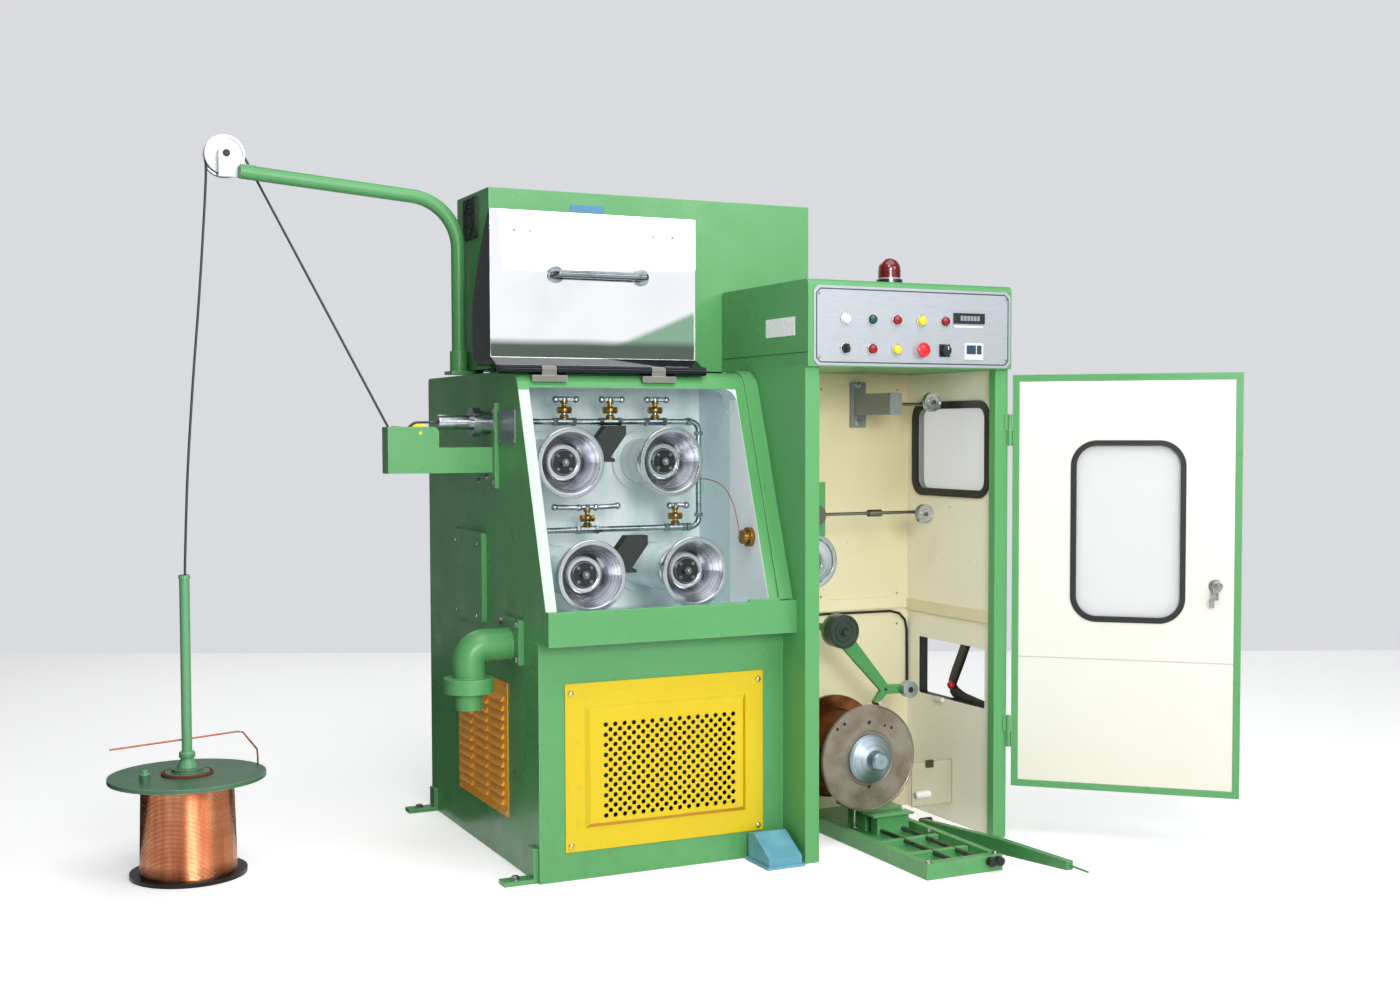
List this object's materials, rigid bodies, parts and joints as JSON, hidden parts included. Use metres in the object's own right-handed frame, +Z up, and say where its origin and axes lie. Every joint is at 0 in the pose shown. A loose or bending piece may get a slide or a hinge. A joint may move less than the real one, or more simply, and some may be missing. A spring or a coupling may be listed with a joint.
{
  "type": "wire drawing machine",
  "caption": "Fine wire drawing machine with stepped cone capstans behind a sloped opening, a take-up cabinet with a swinging door, an electric cabinet on top and a supply spool",
  "frame": {"origin": "middle of the main body's base, on the floor", "axes": "X to the right along the machine's front, Y to the back, Z up"},
  "size_m": [3.0017, 1.759, 2.073],
  "materials": {
    "green_paint": "semi-gloss sheet steel paint, scuffed",
    "cream_paint": "semi-gloss sheet steel paint",
    "white_paint": "glossy paint, oily",
    "yellow_paint": "semi-gloss paint",
    "orange_paint": "semi-gloss paint",
    "red_plastic": "moulded",
    "clear_sheet": "clear",
    "polished_steel": "polished, finely turned",
    "plain_steel": "machined",
    "black_iron": "oiled black",
    "brass": "worn",
    "copper": "bright drawn copper wire",
    "black_rubber": "matt moulded",
    "dark_plastic": "moulded",
    "white_plastic": "moulded",
    "blue_plastic": "moulded",
    "anodised_plate": "satin"
  },
  "bodies": {
    "machine": {"lower_cabinet": "green_paint", "coolant_tray": "green_paint", "hood_shell": "green_paint", "bulkhead": "white_paint", "rear_housing": "green_paint", "electric_cabinet": "green_paint", "fan_grille": "dark_plastic", "cone_housings": "white_paint", "die_holders": "black_iron", "spray_pipes": "plain_steel", "pipe_taps": "brass", "exit_die": "brass", "drawn_wire": "copper", "vent_panel": "yellow_paint", "louvre_panel": "orange_paint", "side_cover_plates": "green_paint", "coolant_elbow": "green_paint", "entry_bracket": "green_paint", "inlet_guide": "polished_steel", "payoff_arm": "green_paint", "pulley_fork": "plain_steel", "takeup_left_wall": "cream_paint", "takeup_back_wall": "cream_paint", "takeup_right_wall": "cream_paint", "right_wall_seals": "black_rubber", "side_glass": "clear_sheet", "control_box": "green_paint", "control_panel": "anodised_plate", "push_buttons": "red_plastic", "beacon": "red_plastic", "fixed_hinges": "polished_steel", "guide_plates": "green_paint", "guide_rods": "plain_steel", "spindle_housing": "black_iron", "loading_platform": "green_paint", "spool_guard": "clear_sheet", "foot_switch": "blue_plastic", "payoff_spool": "copper", "payoff_cap": "green_paint", "supply_wire": "plain_steel"},
    "door": {"door_leaf": "green_paint", "door_lining": "cream_paint", "door_seal": "black_rubber", "door_glass": "clear_sheet"},
    "lid": {"lid": "polished_steel", "lid_handle": "polished_steel"},
    "cone_upper_left": {"cone_upper_left": "polished_steel"},
    "cone_upper_right": {"cone_upper_right": "polished_steel"},
    "cone_lower_left": {"cone_lower_left": "polished_steel"},
    "cone_lower_right": {"cone_lower_right": "polished_steel"},
    "capstan": {"capstan_wheel": "polished_steel"},
    "upper_pulley": {"upper_guide_pulley": "polished_steel"},
    "lower_pulley": {"lower_guide_pulley": "polished_steel"},
    "dancer": {"dancer_arm": "green_paint"},
    "spool": {"take_up_spool": "copper", "spool_clamp": "plain_steel"},
    "supply_pulley": {"payoff_pulley": "white_plastic"},
    "roller": {"entry_roller": "yellow_paint"},
    "lever": {"lift_lever": "green_paint"}
  },
  "joints": [
    {"name": "door_hinge", "type": "hinge", "parent": "machine", "child": "door", "pos_m": [1.071, -0.6525, 0.778], "axis": [0, 0, 1], "range_deg": [-137, 30]},
    {"name": "lid_hinge", "type": "hinge", "parent": "machine", "child": "lid", "pos_m": [-0.114, -0.3543, 1.402], "axis": [1, 0, 0], "range_deg": [0, 168]},
    {"name": "cone_upper_left_turn", "type": "hinge", "parent": "machine", "child": "cone_upper_left", "pos_m": [-0.218, -0.3125, 1.141], "axis": [0, 1, 0], "continuous": true},
    {"name": "cone_upper_right_turn", "type": "hinge", "parent": "machine", "child": "cone_upper_right", "pos_m": [0.093, -0.3125, 1.141], "axis": [0, 1, 0], "continuous": true},
    {"name": "cone_lower_left_turn", "type": "hinge", "parent": "machine", "child": "cone_lower_left", "pos_m": [-0.218, -0.4625, 0.833], "axis": [0, 1, 0], "continuous": true},
    {"name": "cone_lower_right_turn", "type": "hinge", "parent": "machine", "child": "cone_lower_right", "pos_m": [0.093, -0.4625, 0.833], "axis": [0, 1, 0], "continuous": true},
    {"name": "capstan_turn", "type": "hinge", "parent": "machine", "child": "capstan", "pos_m": [0.533, -0.3925, 0.839], "axis": [0, 1, 0], "continuous": true},
    {"name": "upper_pulley_turn", "type": "hinge", "parent": "machine", "child": "upper_pulley", "pos_m": [0.966, -0.3925, 1.317], "axis": [0, 1, 0], "continuous": true},
    {"name": "lower_pulley_turn", "type": "hinge", "parent": "machine", "child": "lower_pulley", "pos_m": [0.94, -0.3925, 0.97], "axis": [0, 1, 0], "continuous": true},
    {"name": "dancer_swing", "type": "hinge", "parent": "machine", "child": "dancer", "pos_m": [0.638, -0.3125, 0.622], "axis": [0, -1, 0], "range_deg": [-5, 25]},
    {"name": "spool_turn", "type": "hinge", "parent": "machine", "child": "spool", "pos_m": [0.656, -0.4215, 0.257], "axis": [0, 1, 0], "continuous": true},
    {"name": "supply_pulley_turn", "type": "hinge", "parent": "machine", "child": "supply_pulley", "pos_m": [-1.07036, 0.1525, 2.01704], "axis": [0, 1, 0], "continuous": true},
    {"name": "entry_roller_turn", "type": "hinge", "parent": "machine", "child": "roller", "pos_m": [-0.597, -0.1445, 1.2262], "axis": [0, 1, 0], "continuous": true},
    {"name": "lever_lift", "type": "hinge", "parent": "machine", "child": "lever", "pos_m": [0.893, -0.4725, 0.02], "axis": [-1, 0, 0], "range_deg": [0, 6.5]}
  ],
  "couplings": [
    {"joint": "cone_upper_right_turn", "follows": "cone_upper_left_turn", "ratio": 1},
    {"joint": "cone_lower_left_turn", "follows": "cone_upper_left_turn", "ratio": 1},
    {"joint": "cone_lower_right_turn", "follows": "cone_upper_left_turn", "ratio": 1}
  ]
}
